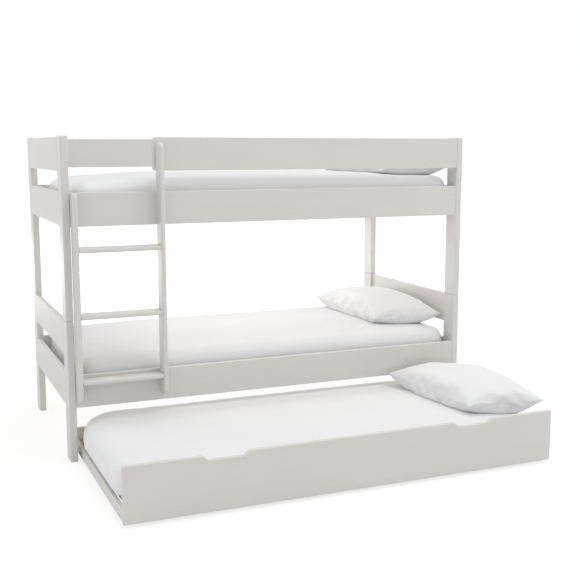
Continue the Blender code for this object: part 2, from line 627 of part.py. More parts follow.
def build_bedding():
    """Mattresses and pillows of the two fixed beds."""
    x = (-POST_INNER + MATTRESS_END_GAP, POST_INNER - MATTRESS_END_GAP)
    y = (FRONT + RAIL_THICKNESS + MATTRESS_SIDE_GAP, BACK - RAIL_THICKNESS - MATTRESS_SIDE_GAP)
    pillow_x = (POST_INNER - PILLOW_POST_CLEARANCE - PILLOW_WIDTH, POST_INNER - PILLOW_POST_CLEARANCE)
    lower_back = BACK - RAIL_THICKNESS - LOWER_PILLOW_BACK_GAP
    upper_front = FRONT + UPPER_PILLOW_FRONT_GAP
    levels = (("lower", LOWER_RAIL_BOTTOM, LOWER_MATTRESS_HEIGHT, (lower_back - PILLOW_LENGTH, lower_back)),
              ("upper", UPPER_RAIL_BOTTOM, UPPER_MATTRESS_HEIGHT, (upper_front, upper_front + PILLOW_LENGTH)))
    for level, rail, height, pillow_y in levels:
        bottom = rail + SLAT_RISE + SLAT_THICKNESS + SEAT_GAP
        mattress(level + "_mattress", x, y, bottom, height, MATTRESS_CORNER_RADIUS)
        pillow(level + "_pillow", pillow_x, pillow_y, bottom + height + SEAT_GAP)


def build_trundle_bedding(carrier):
    """The trundle's mattress, which lies over its end boards, and its pillow."""
    half = END_BOARD_OUTER - TRUNDLE_MATTRESS_END_INSET
    y = (TRUNDLE_INNER_FRONT + TRUNDLE_MATTRESS_FRONT_GAP, TRUNDLE_INNER_BACK - TRUNDLE_MATTRESS_BACK_GAP)
    bottom = TRUNDLE_SLAT_TOP + SEAT_GAP
    mattress("trundle_mattress", (-half, half), y, bottom, TRUNDLE_MATTRESS_HEIGHT,
             TRUNDLE_MATTRESS_CORNER_RADIUS, carrier)
    right = RIGHT - TRUNDLE_PILLOW_END_INSET
    pillow_y = (TRUNDLE_INNER_FRONT + TRUNDLE_PILLOW_PANEL_GAP, FRONT - TRUNDLE_PILLOW_RAIL_GAP)
    pillow("trundle_pillow", (right - TRUNDLE_PILLOW_WIDTH, right), pillow_y,
           bottom + TRUNDLE_MATTRESS_HEIGHT + SEAT_GAP, carrier)


def build_trundle():
    """Everything that rolls out from under the lower bed."""
    carrier = bpy.data.objects.new("trundle_carrier", None)
    bpy.context.scene.collection.objects.link(carrier)
    carrier.location = (0, TRUNDLE_MIDDLE, 0)
    build_front_panel(carrier)
    build_trundle_frame(carrier)
    build_trundle_bedding(carrier)
    for side in ("left", "right"):
        build_castor("front_" + side, side, TRUNDLE_INNER_FRONT + CASTOR_INSET, carrier)
        build_castor("back_" + side, side, TRUNDLE_INNER_BACK - CASTOR_INSET, carrier)


def build():
    clear_scene()
    build_posts()
    build_end_planks()
    build_rails()
    build_front_guard()
    build_slats()
    build_ladder()
    build_bedding()
    build_trundle()


build()
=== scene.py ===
import math

import bmesh
import bpy
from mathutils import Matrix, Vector, noise
from mathutils.bvhtree import BVHTree


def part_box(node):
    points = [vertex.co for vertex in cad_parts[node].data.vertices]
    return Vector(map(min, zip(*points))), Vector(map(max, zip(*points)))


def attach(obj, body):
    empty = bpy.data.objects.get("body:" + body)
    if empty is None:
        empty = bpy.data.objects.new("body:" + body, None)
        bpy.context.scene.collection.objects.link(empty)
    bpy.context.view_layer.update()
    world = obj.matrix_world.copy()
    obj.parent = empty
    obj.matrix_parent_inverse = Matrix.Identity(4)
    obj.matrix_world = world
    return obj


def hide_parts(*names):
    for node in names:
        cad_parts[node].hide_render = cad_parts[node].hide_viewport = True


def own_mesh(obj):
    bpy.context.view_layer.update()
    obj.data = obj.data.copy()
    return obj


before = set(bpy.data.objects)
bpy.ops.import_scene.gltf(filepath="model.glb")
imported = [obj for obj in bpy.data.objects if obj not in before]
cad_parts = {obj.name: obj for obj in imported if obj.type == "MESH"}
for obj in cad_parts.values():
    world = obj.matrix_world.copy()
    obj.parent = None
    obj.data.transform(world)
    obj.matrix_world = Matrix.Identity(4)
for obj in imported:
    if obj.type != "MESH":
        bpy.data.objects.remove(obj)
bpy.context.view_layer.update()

# Lengths are in metres, but the sensor's width is in millimetres. Angles are in radians and colours are
# linear. X runs along the bed, -Y is its front and Z is up.

# Camera, from the fit to the photograph's edges
CAMERA_PLACE = (-1.6599, -4.1165, 1.362)
CAMERA_PAN = -0.4020
CAMERA_DOWN = 0.1488
CAMERA_REACH = 100.0
SENSOR_WIDTH = 36.0
FOCAL_PIXELS = 940.86
PICTURE_WIDTH = 580

# Sky and floor
WHITE = (1.0, 1.0, 1.0)
SKY_LEVEL = 0.77
SKY_SEEN = 1.0
FLOOR_LEVEL = 0.93
FLOOR_SHADOW = 0.28
FLOOR_GLOW = 0.76
FLOOR_FADE = (2.2, 5.0)
FLOOR_FADE_GLOW = 0.3
FLOOR_SIZE = 60.0
FLOOR_DROP = 0.0003

# Lamps: place, aim, width, height and power in watts
LAMPS = {
    "overhead_lamp": ((1.4, -1.2, 5.2), (0.0, -0.2, 0.5), 4.0, 4.0, 92.0),
    "back_left_lamp": ((-4.6, 3.6, 1.3), (0.0, 0.3, 0.4), 3.0, 3.0, 32.0),
    "low_back_lamp": ((0.4, 4.4, 0.3), (0.0, 0.0, 0.2), 5.0, 0.45, 40.0),
    "lamp_between_beds": ((0.0, 0.50, 1.02), (0.0, 0.55, 0.0), 1.6, 0.65, 3.7),
    "lamp_under_bed": ((0.0, 0.41, 0.285), (0.0, 0.41, 0.0), 1.85, 0.90, 2.2),
}

# Finishes. A single number for a pattern is its noise scale, finer where it is higher, and a pair is the
# scales along and across a board or a cloth. Threads are radians in a metre. Shares weigh the patterns in the
# order in which a finish adds them up. A relief is a bump's depth and strength. Edges and tones are the two
# ends of a smooth step.
AXES = "XYZ"
MIDDLE_TONES = (0.30, 0.70)

PAINT = (0.688, 0.672, 0.632)
# The lighter paint along the edges is partly rubbed wear and partly a painted highlight
PAINT_WORN_AND_HIGHLIGHT = (0.742, 0.728, 0.690)
PAINT_SHADE = (0.665, 0.648, 0.608)
PAINT_CLOUDS = 2.6
PAINT_GRAIN = (1.6, 46.0)
PAINT_ROLLER = 380.0
PAINT_STROKES = (9.0, 620.0)
PAINT_EDGE = (0.0008, 0.0040)
PAINT_RUB_AND_HIGHLIGHT_SCALE = 34.0
PAINT_RUB_AND_HIGHLIGHT_TONES = (0.42, 0.66)
PAINT_RUB_AND_HIGHLIGHT_SHARE = 0.55
PAINT_TONE_SHARES = (0.6, 0.4)
PAINT_ROUGHNESS = 0.36
PAINT_ROUGHNESS_SHARES = (0.10, 0.06, 0.08)
PAINT_HEIGHT_SHARES = (0.30, 0.25, 0.45)
PAINT_RELIEF = (0.00022, 0.8)
PAINT_COAT = 0.06
PAINT_COAT_ROUGHNESS = 0.25

SLAT_LIGHT = (0.745, 0.640, 0.490)
SLAT_DARK = (0.610, 0.480, 0.335)
KNOT = (0.300, 0.180, 0.090)
WOOD_DRIFT = (1.2, 9.0)
WOOD_DRIFT_TONES = (0.35, 0.65)
WOOD_GROWTH = (0.9, 22.0)
WOOD_RING_SHARES = (34.0, 12.0)
WOOD_PORES = (26.0, 900.0)
WOOD_KNOTS = (3.0, 8.0)
WOOD_KNOT_TONES = (0.72, 0.80)
WOOD_KNOT_SHARE = 0.6
WOOD_TONE_SHARES = (0.62, 0.38)
# Bare wood's edges are lightened as a painted highlight
WOOD_EDGE = (0.0005, 0.0030)
WOOD_EDGE_HIGHLIGHT_SHARE = 0.25
WOOD_ROUGHNESS = 0.50
WOOD_ROUGHNESS_SHARES = (0.12, 0.06)
WOOD_HEIGHT_SHARES = (0.6, 0.4)
WOOD_RELIEF = (0.00025, 0.7)

TAPE = (0.780, 0.770, 0.740)
TAPE_DARK = (0.600, 0.590, 0.560)
TAPE_EDGE = (0.0004, 0.0002)
TAPE_THREADS = 1800.0
TAPE_ROUGHNESS_SHARE = 0.25
BED_SLAT_THICKNESS = 0.015
TRUNDLE_SLAT_THICKNESS = 0.012

ZINC = (0.560, 0.560, 0.570)
ZINC_DULL = (0.420, 0.425, 0.440)
# The brighter zinc along the edges is a painted highlight
ZINC_EDGE_HIGHLIGHT = (0.640, 0.640, 0.650)
ZINC_SPANGLE = 260.0
ZINC_SPANGLE_TONES = (0.1, 0.7)
ZINC_STREAKS = (900.0, 40.0, 900.0)
ZINC_EDGE = (0.0003, 0.0016)
ZINC_EDGE_HIGHLIGHT_SHARE = 0.4
ZINC_TONE_SHARES = (0.6, 0.4)
ZINC_ROUGHNESS = 0.28
ZINC_ROUGHNESS_SHARES = (0.14, 0.12)
ZINC_RELIEF = (0.00006, 0.5)

TYRE = (0.045, 0.045, 0.047)
HUB = (0.330, 0.335, 0.340)
DUST = (0.300, 0.290, 0.270)
HUB_EDGE = (0.0118, 0.0122)
TYRE_SPECKLE = 700.0
TYRE_DUST = 90.0
TYRE_DUST_TONES = (0.5, 0.75)
TYRE_DUST_EDGE = (0.0150, 0.0188)
TYRE_DUST_SHARE = 0.35
TYRE_ROUGHNESS = 0.55
TYRE_ROUGHNESS_SHARES = (0.15, 0.15, -0.15)
TYRE_RELIEF = (0.00008, 0.6)

COTTON = (0.828, 0.832, 0.842)
COTTON_SHADE = (0.786, 0.790, 0.800)
COTTON_THREADS = 2 * math.pi / 0.0022
COTTON_SLUB = (26.0, 520.0)
COTTON_SLUB_SHARES = (0.5, 0.5)
COTTON_CRUMPLE = 11.0
COTTON_SOFT = 4.5
COTTON_SOFT_TONES = (0.25, 0.75)
COTTON_TONE_SHARES = (0.45, 0.35, 0.2)
COTTON_HEIGHT_SHARES = (0.05, 0.12, 0.45)
COTTON_ROUGHNESS = 0.80
COTTON_SLUB_ROUGHNESS = 0.08
COTTON_RELIEF = (0.0010, 0.9)
COTTON_SHEEN = 0.35
COTTON_SHEEN_ROUGHNESS = 0.45

# A pillowcase's sewn edge and the fold by its near left corner, on its cloth map
GATHERS = (60.0, 60.0, 1.0)
GATHER_EDGE = (0.002, 0.035)
GATHER_HEIGHT = 0.9
GROOVE_EDGE = (0.0015, 0.0050)
GROOVE_DEPTH = 1.2
FOLD_INSET = 0.016
FOLD_WANDER = 14.0
FOLD_WANDER_REACH = 0.010
FOLD_EDGE = (0.001, 0.006)
FOLD_START = (0.012, 0.030)
FOLD_END = (0.090, 0.150)
FOLD_HEIGHT = 2.2

# Mattresses: how they are meshed and blown up, and how the covers ripple on top. A ripple is its two noise
# scales and how far it moves the cloth.
MERGE_DISTANCE = 0.00002
MATTRESS_MESH = 0.014
MATTRESS_SLACK = 0.003
MATTRESS_AIR = {"pressure": 3.0, "frames": 12, "most": 0.006, "tension": 15.0, "bending": 0.5}
CLOTH_QUALITY = 5
RIPPLE_WIDE = (3.2, 4.6, 0.0022)
RIPPLE_FINE = (11.0, 17.0, 0.0008)
RIPPLE_SEED_STEP = 9.0
RIPPLE_DEPTH = 0.035
RIPPLE_FADE = 0.03

# How the fixed beds' mattresses slump at their left ends
LOWER_CROWN = 0.0
LOWER_CORNER_PULL = 0.026
UPPER_CROWN = 0.010
UPPER_CORNER_PULL = 0.045
END_DROP = 0.009
END_PULL = 0.020
END_REACH = 0.53
CORNER_REACH = 0.24
FOOT_PULL_SHARE = 0.35
PILLOW_PRESS = (0.52, 0.74)

# Pillows: how the cases are sewn, filled and laid
PILLOW_ACROSS = 44
PILLOW_ALONG = 84
PILLOW_LOOSE = (1.05, 1.03)
PILLOW_AIR = {"pressure": 1.5, "frames": 16, "most": 0.045, "tension": 30.0, "bending": 0.5}
BLANK_MIDDLE = 0.42
BLANK_FULLNESS = 0.31
BLANK_UNEVEN = 0.004
BLANK_UNEVEN_SCALES = (3, 4, 2)
SEAM_RISE = 0.040
SEAM_BOW = (0.03, 0.02)
SEAM_CREASE = 0.8
SEAM_PINCH = 0.55
SEAM_PINCH_REACH = 0.028
UNDERCUT_SLOPE = 1.35
CORNER_SHARPNESS = 6
PILLOW_GAP = 0.0008
PRESS_DEPTH = 0.004
PRESS_LOOK_UP = 1.0

# How far each corner of a pillow is moved along X, Y and Z: near left, near right, far left, far right
CORNERS = ((-1, -1), (1, -1), (-1, 1), (1, 1))
LOWER_PILLOW_CORNERS = ((0.012, 0.115, -0.012), (0.0, 0.010, 0.015), (0.0, 0.0, 0.008), (0.0, 0.0, 0.010))
UPPER_PILLOW_CORNERS = ((0.0, 0.050, -0.030), (0.0, 0.0, -0.014), (0.0, 0.0, 0.008), (0.0, 0.0, 0.010))
TRUNDLE_PILLOW_CORNERS = ((0.065, 0.080, -0.004), (0.0, 0.0, 0.014), (0.0, 0.0, 0.020), (0.0, 0.0, 0.008))


class Field:
    """A number or colour that varies over a surface, so that finishes can be written as sums."""

    def __init__(self, nodes, socket):
        self.nodes = nodes
        self.socket = socket

    def maths(self, operation, first, second=0.0):
        return self.nodes.node("ShaderNodeMath", {"operation": operation}, (first, second))

    def __add__(self, other):
        return self.maths("ADD", self, other)

    def __sub__(self, other):
        return self.maths("SUBTRACT", self, other)

    def __rsub__(self, other):
        return self.maths("SUBTRACT", other, self)

    def __mul__(self, other):
        return self.maths("MULTIPLY", self, other)

    def __pow__(self, other):
        return self.maths("POWER", self, other)

    def __abs__(self):
        return self.maths("ABSOLUTE", self)

    __radd__ = __add__
    __rmul__ = __mul__

    def least(self, other):
        return self.maths("MINIMUM", self, other)

    def most(self, other):
        return self.maths("MAXIMUM", self, other)

    def wave(self):
        return self.maths("SINE", self)

    def lifted(self):
        """A wave moved from between -1 and 1 to between 0 and 1."""
        return (self + 1.0) * 0.5

    def ramp(self, low, high, start=0.0, end=1.0):
        """Go smoothly from start to end as the field goes from low to high."""
        ends = {"From Min": low, "From Max": high, "To Min": start, "To Max": end}
        return self.nodes.node("ShaderNodeMapRange", {"interpolation_type": "SMOOTHSTEP"},
                               {"Value": self, **ends})

    def fade(self, low, high):
        """Fall smoothly from 1 to 0 as the field goes from low to high."""
        return self.ramp(low, high, 1.0, 0.0)


def mixture(shares, *fields):
    """Add fields up, each by its share."""
    parts = [field * share for share, field in zip(shares, fields)]
    return sum(parts[1:], parts[0])


def opaque(colour):
    """A plain colour with its alpha; a field stays as it is."""
    return colour if isinstance(colour, Field) else (*colour, 1.0)


class Nodes:
    """A node tree that is built up one node at a time."""

    def __init__(self, owner):
        owner.use_nodes = True
        self.tree = owner.node_tree
        self.tree.nodes.clear()

    def node(self, kind, settings=None, sockets=(), output=0):
        """Add a node with its settings, feed its sockets with values or fields, and return one output."""
        made = self.tree.nodes.new(kind)
        for name, value in (settings or {}).items():
            setattr(made, name, value)
        pairs = sockets.items() if isinstance(sockets, dict) else enumerate(sockets)
        for key, value in pairs:
            if isinstance(value, Field):
                self.tree.links.new(value.socket, made.inputs[key])
            else:
                made.inputs[key].default_value = value
        return Field(self, made.outputs[output])

    def outputs(self, field):
        """All outputs of the node that a field comes from, by name."""
        return {socket.name: Field(self, socket) for socket in field.socket.node.outputs}

    def show(self, shader, kind="ShaderNodeOutputMaterial"):
        """Send a shader to the tree's output."""
        output = self.tree.nodes.new(kind)
        self.tree.links.new(shader.socket, output.inputs["Surface"])


class Finish(Nodes):
    """One material, with the patterns that the finishes are made of."""

    def __init__(self, name):
        self.material = bpy.data.materials.new(name)
        super().__init__(self.material)

    def place(self):
        """Where a point is in the object's own metres."""
        return self.node("ShaderNodeTexCoord", output="Object")

    def difference(self, first, second):
        """One vector less another."""
        return self.node("ShaderNodeVectorMath", {"operation": "SUBTRACT"}, (first, second))

    def split(self, vector):
        """A vector's parts along X, Y and Z."""
        return list(self.outputs(self.node("ShaderNodeSeparateXYZ", None, (vector,))).values())

    def noise(self, vector, scale, detail=2.0, roughness=0.5):
        return self.node("ShaderNodeTexNoise", None,
                         {"Vector": vector, "Scale": scale, "Detail": detail, "Roughness": roughness})

    def stretched(self, vector, scales, detail=2.0, roughness=0.5):
        """Noise with its own scale along each axis."""
        mapped = self.node("ShaderNodeMapping", None, {"Vector": vector, "Scale": scales})
        return self.noise(mapped, 1.0, detail, roughness)

    def mix(self, share, first, second):
        """Go from the first colour to the second by a share."""
        return self.node("ShaderNodeMix", {"data_type": "RGBA"},
                         {0: share, 6: opaque(first), 7: opaque(second)}, output=2)

    def surface(self, colour, roughness, height, relief, **constants):
        """Join everything to the shader, with what is the same all over set on its own sockets."""
        depth, strength = relief
        bump = self.node("ShaderNodeBump", None, {"Height": height, "Distance": depth, "Strength": strength})
        sockets = {"Base Color": colour, "Roughness": roughness, "Normal": bump}
        sockets.update({name.replace("_", " "): value for name, value in constants.items()})
        self.show(self.node("ShaderNodeBsdfPrincipled", None, sockets))
        return self.material


def middle_and_half(node):
    """The middle of a CAD piece's box and half its size."""
    low, high = (Vector(corner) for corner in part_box(node))
    return (low + high) / 2, (high - low) / 2


def edge_distance(finish, node):
    """How far a point on a board's face is from the board's nearest edge."""
    middle, half = middle_and_half(node)
    offset = finish.difference(finish.place(), middle)
    reach = finish.node("ShaderNodeVectorMath", {"operation": "ABSOLUTE"}, (offset,))
    x, y, z = finish.split(finish.difference(half, reach))
    return x.least(y).most(x.most(y).least(z))


def board_scales(axis, pair):
    """Noise scales for a board that runs along an axis."""
    along, across = pair
    return tuple(along if name == axis else across for name in AXES)


def painted(node, axis):
    """Satin paint, rolled along a board, with the grain just showing and the edges lighter, partly as rubbed
    wear and partly as a painted highlight.
    """
    finish = Finish("paint_on_" + node)
    place = finish.place()
    clouds = finish.noise(place, PAINT_CLOUDS, detail=3.0)
    grain = finish.stretched(place, board_scales(axis, PAINT_GRAIN), detail=3.0, roughness=0.6)
    roller = finish.noise(place, PAINT_ROLLER, roughness=0.6)
    strokes = finish.stretched(place, board_scales(axis, PAINT_STROKES), detail=1.0)
    # Edges lightened in patches: partly rubbed wear, partly a painted highlight along each edge
    edge = edge_distance(finish, node).fade(*PAINT_EDGE)
    rub_and_highlight = edge * finish.noise(place, PAINT_RUB_AND_HIGHLIGHT_SCALE, detail=3.0, roughness=0.7).ramp(*PAINT_RUB_AND_HIGHLIGHT_TONES)
    tone = mixture(PAINT_TONE_SHARES, clouds.ramp(*MIDDLE_TONES), grain.ramp(*MIDDLE_TONES))
    colour = finish.mix(rub_and_highlight * PAINT_RUB_AND_HIGHLIGHT_SHARE, finish.mix(tone, PAINT_SHADE, PAINT), PAINT_WORN_AND_HIGHLIGHT)
    roughness = mixture(PAINT_ROUGHNESS_SHARES, roller, strokes, rub_and_highlight) + PAINT_ROUGHNESS
    height = mixture(PAINT_HEIGHT_SHARES, roller, strokes, grain)
    return finish.surface(colour, roughness, height, PAINT_RELIEF, Coat_Weight=PAINT_COAT,
                          Coat_Roughness=PAINT_COAT_ROUGHNESS)


def bare_wood(node, axis, tape_below=None):
    """Planed softwood with its grain along one axis; below a given height it is webbing tape instead."""
    finish = Finish("wood_of_" + node)
    place = finish.place()
    drift = finish.stretched(place, board_scales(axis, WOOD_DRIFT))
    growth = finish.stretched(place, board_scales(axis, WOOD_GROWTH))
    rings = mixture(WOOD_RING_SHARES, growth, drift).wave().lifted()
    pores = finish.stretched(place, board_scales(axis, WOOD_PORES))
    knots = finish.stretched(place, board_scales(axis, WOOD_KNOTS), detail=0.0).ramp(*WOOD_KNOT_TONES)
    tone = mixture(WOOD_TONE_SHARES, rings, drift.ramp(*WOOD_DRIFT_TONES))
    colour = finish.mix(knots * WOOD_KNOT_SHARE, finish.mix(tone, SLAT_LIGHT, SLAT_DARK), KNOT)
    # A lighter band along each edge: a painted highlight
    edge = edge_distance(finish, node).fade(*WOOD_EDGE)
    colour = finish.mix(edge * WOOD_EDGE_HIGHLIGHT_SHARE, colour, SLAT_LIGHT)
    roughness = mixture(WOOD_ROUGHNESS_SHARES, pores, rings) + WOOD_ROUGHNESS
    height = mixture(WOOD_HEIGHT_SHARES, pores, rings)
    if tape_below is not None:
        x, y, z = finish.split(place)
        tape = z.fade(*(tape_below - gap for gap in TAPE_EDGE))
        weave = ((x * TAPE_THREADS).wave() * (y * TAPE_THREADS).wave()).lifted()
        colour = finish.mix(tape, colour, finish.mix(weave, TAPE_DARK, TAPE))
        roughness = roughness + tape * TAPE_ROUGHNESS_SHARE
        height = height + (weave - height) * tape
    return finish.surface(colour, roughness, height, WOOD_RELIEF)


def zinc_plate(node):
    """Zinc-plated steel, dull and slightly patchy."""
    finish = Finish("zinc_of_" + node)
    place = finish.place()
    spangle = finish.node("ShaderNodeTexVoronoi", {"feature": "F1"}, {"Vector": place, "Scale": ZINC_SPANGLE})
    streaks = finish.stretched(place, ZINC_STREAKS)
    # A brighter band along each edge: a painted highlight
    edge = edge_distance(finish, node).fade(*ZINC_EDGE)
    tone = mixture(ZINC_TONE_SHARES, spangle.ramp(*ZINC_SPANGLE_TONES), streaks)
    colour = finish.mix(edge * ZINC_EDGE_HIGHLIGHT_SHARE, finish.mix(tone, ZINC_DULL, ZINC), ZINC_EDGE_HIGHLIGHT)
    roughness = mixture(ZINC_ROUGHNESS_SHARES, spangle, streaks) + ZINC_ROUGHNESS
    return finish.surface(colour, roughness, streaks, ZINC_RELIEF, Metallic=1.0)


def rubber(node):
    """A moulded wheel: a dark, slightly dusty tyre round a grey hub."""
    finish = Finish("rubber_of_" + node)
    middle = middle_and_half(node)[0]
    place = finish.place()
    _, y, z = finish.split(finish.difference(place, middle))
    radius = (y * y + z * z) ** 0.5
    hub = radius.fade(*HUB_EDGE)
    speckle = finish.noise(place, TYRE_SPECKLE)
    specks = finish.noise(place, TYRE_DUST, detail=3.0, roughness=0.7)
    dust = specks.ramp(*TYRE_DUST_TONES) * radius.ramp(*TYRE_DUST_EDGE)
    colour = finish.mix(dust * TYRE_DUST_SHARE, finish.mix(hub, TYRE, HUB), DUST)
    roughness = mixture(TYRE_ROUGHNESS_SHARES, speckle, dust, hub) + TYRE_ROUGHNESS
    return finish.surface(colour, roughness, speckle, TYRE_RELIEF)


def repaint(node, material):
    """Give a CAD piece its finish."""
    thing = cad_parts[node]
    if not thing.material_slots:
        thing.data.materials.append(material)
    for slot in thing.material_slots:
        slot.material = material


def grain_axis(node):
    """The axis along a board's length."""
    low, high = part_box(node)
    spans = [high[i] - low[i] for i in range(3)]
    return AXES[spans.index(max(spans))]


def finish_frame():
    """Paint, bare wood, zinc and rubber on every rigid piece."""
    for node in sorted(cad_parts):
        if "mattress" in node or "pillow" in node:
            continue
        if "slat_base" in node:
            thickness = TRUNDLE_SLAT_THICKNESS if "trundle" in node else BED_SLAT_THICKNESS
            repaint(node, bare_wood(node, "Y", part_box(node)[1][2] - thickness))
        elif "bearer" in node or "dowel" in node:
            repaint(node, bare_wood(node, grain_axis(node)))
        elif "castor_bracket" in node:
            repaint(node, zinc_plate(node))
        elif "castor_wheel" in node:
            repaint(node, rubber(node))
        else:
            repaint(node, painted(node, grain_axis(node)))


def with_sewn_edge(finish, cloth, place, height, half):
    """Add a pillowcase's gathers, the groove of its seam and the fold by one corner to its cloth's height."""
    u, v, _ = finish.split(cloth)
    inset = (half[0] - abs(u)).least(half[1] - abs(v))
    gathers = finish.stretched(cloth, GATHERS, detail=1.0) * inset.fade(*GATHER_EDGE)
    height = height + gathers * GATHER_HEIGHT - inset.fade(*GROOVE_EDGE) * GROOVE_DEPTH
    wander = finish.noise(place, FOLD_WANDER, detail=1.0) * FOLD_WANDER_REACH
    across = abs(v + (half[1] - FOLD_INSET) + wander).fade(*FOLD_EDGE)
    start, end = ([reach - half[0] for reach in pair] for pair in (FOLD_START, FOLD_END))
    return height + across * (u.ramp(*start) * u.fade(*end)) * FOLD_HEIGHT


def cotton(name, half=None):
    """Plain woven white cotton on its own cloth map, with a sewn edge where a case's half size is given."""
    finish = Finish(name)
    cloth = finish.node("ShaderNodeUVMap", {"uv_map": "cloth"})
    u, v, _ = finish.split(cloth)
    coarse, fine = COTTON_SLUB
    slub = mixture(COTTON_SLUB_SHARES, finish.stretched(cloth, (coarse, fine, 1.0)),
                   finish.stretched(cloth, (fine, coarse, 1.0)))
    place = finish.place()
    crumple = finish.noise(place, COTTON_CRUMPLE, detail=4.0)
    soft = finish.noise(place, COTTON_SOFT)
    weave = ((u * COTTON_THREADS).wave() * (v * COTTON_THREADS).wave()).lifted()
    tone = mixture(COTTON_TONE_SHARES, soft.ramp(*COTTON_SOFT_TONES), slub.ramp(*MIDDLE_TONES), weave)
    colour = finish.mix(tone, COTTON_SHADE, COTTON)
    height = mixture(COTTON_HEIGHT_SHARES, weave, slub, crumple)
    if half is not None:
        height = with_sewn_edge(finish, cloth, place, height, half)
    return finish.surface(colour, slub * COTTON_SLUB_ROUGHNESS + COTTON_ROUGHNESS, height, COTTON_RELIEF,
                          Sheen_Weight=COTTON_SHEEN, Sheen_Roughness=COTTON_SHEEN_ROUGHNESS)


def piece_from(name, shape):
    """Turn a finished shape into a piece in the scene."""
    mesh = bpy.data.meshes.new(name)
    shape.to_mesh(mesh)
    shape.free()
    piece = bpy.data.objects.new(name, mesh)
    bpy.context.scene.collection.objects.link(piece)
    return piece


def select_only(piece):
    bpy.ops.object.select_all(action="DESELECT")
    piece.select_set(True)
    bpy.context.view_layer.objects.active = piece


def keep_points(piece, points):
    """Move a piece's points to new places, given in the same order."""
    for vertex, point in zip(piece.data.vertices, points):
        vertex.co = point
    piece.data.update()


def swell(piece, pressure, frames, most, tension, bending):
    """Blow a closed cover up from inside as cloth, with no point moving further than most."""
    start = [vertex.co.copy() for vertex in piece.data.vertices]
    cloth = piece.modifiers.new("Cloth", "CLOTH")
    settings = cloth.settings
    settings.quality = CLOTH_QUALITY
    settings.tension_stiffness = tension
    settings.compression_stiffness = tension
    settings.bending_stiffness = bending
    settings.use_pressure = True
    settings.uniform_pressure_force = pressure
    settings.effector_weights.gravity = 0
    cloth.collision_settings.use_collision = False
    scene = bpy.context.scene
    for step in range(1, frames + 1):
        scene.frame_set(step)
    swollen = piece.evaluated_get(bpy.context.evaluated_depsgraph_get())
    moved = [vertex.co - before for vertex, before in zip(swollen.data.vertices, start)]
    piece.modifiers.remove(cloth)
    scene.frame_set(1)
    keep_points(piece, [before + move * min(1.0, most / max(move.length, 1e-9))
                        for before, move in zip(start, moved)])


def fit_to(piece, low, high):
    """Stretch a piece's mesh to fill a box."""
    points = [vertex.co for vertex in piece.data.vertices]
    least = [min(point[i] for point in points) for i in range(3)]
    most = [max(point[i] for point in points) for i in range(3)]
    keep_points(piece, [Vector([low[i] + (point[i] - least[i]) * (high[i] - low[i]) / (most[i] - least[i])
                                for i in range(3)]) for point in points])


def refine(piece):
    """One level of subdivision, applied, with smooth shading."""
    select_only(piece)
    finer = piece.modifiers.new("Finer", "SUBSURF")
    finer.levels = finer.render_levels = 1
    bpy.ops.object.modifier_apply(modifier=finer.name)
    bpy.ops.object.shade_smooth()


def even_cover(node):
    """A copy of a CAD mattress with its doubles merged, meshed evenly."""
    shape = bmesh.new()
    shape.from_mesh(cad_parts[node].data)
    bmesh.ops.remove_doubles(shape, verts=shape.verts, dist=MERGE_DISTANCE)
    piece = piece_from(node + "_cover", shape)
    select_only(piece)
    remesh = piece.modifiers.new("Even mesh", "REMESH")
    remesh.mode = "VOXEL"
    remesh.voxel_size = MATTRESS_MESH
    bpy.ops.object.modifier_apply(modifier=remesh.name)
    return piece


def ripple_height(point, kind, seed):
    """How far one kind of ripple moves the cloth at a point."""
    size_x, size_y, most = kind
    return noise.noise(Vector((point.x * size_x, point.y * size_y, seed))) * most


def ripple(piece, top, seed):
    """Let the cloth on top of a mattress ripple a little."""
    shoulder = top - RIPPLE_DEPTH
    points = []
    for vertex in piece.data.vertices:
        point = vertex.co.copy()
        wide = ripple_height(point, RIPPLE_WIDE, seed)
        fine = ripple_height(point, RIPPLE_FINE, seed + RIPPLE_SEED_STEP)
        share = min(1.0, max(0.0, (point.z - shoulder) / RIPPLE_FADE + 1.0))
        points.append(point + vertex.normal * (wide + fine) * share)
    keep_points(piece, points)


def ease(value, start, end):
    """Go smoothly from 0 to 1 as a value goes from start to end."""
    share = min(1.0, max(0.0, (value - start) / (end - start)))
    return share * share * (3 - 2 * share)


def slump(piece, low, high, crown, pull):
    """Draw in a mattress's left end and far left corner, let that end down and raise the middle."""
    points = []
    for vertex in piece.data.vertices:
        x, y, z = vertex.co
        raised = ease(x, low[0], low[0] + END_REACH) * (END_DROP + crown) - END_DROP
        lift = raised * ease(x, PILLOW_PRESS[1], PILLOW_PRESS[0])
        corner = ease(x, low[0] + CORNER_REACH, low[0]) * ease(y, high[1] - CORNER_REACH, high[1]) * pull
        end = ease(x, low[0] + END_REACH, low[0]) * END_PULL
        height = (z - low[2]) / (high[2] - low[2])
        lean = FOOT_PULL_SHARE + (1 - FOOT_PULL_SHARE) * height
        points.append(Vector((x + (corner + end) * lean, y - corner * lean, z + lift * height)))
    keep_points(piece, points)


def unroll_cloth(piece, top):
    """Give a mattress cover a cloth map in metres that runs over its top edge and down its sides."""
    mesh = piece.data
    layer = mesh.uv_layers.new(name="cloth")
    for loop, spot in zip(mesh.loops, layer.data):
        vertex = mesh.vertices[loop.vertex_index]
        drop = top - vertex.co.z
        lean = abs(vertex.normal.x) + abs(vertex.normal.y) + 1e-6
        spot.uv = (vertex.co.x + drop * vertex.normal.x / lean, vertex.co.y + drop * vertex.normal.y / lean)


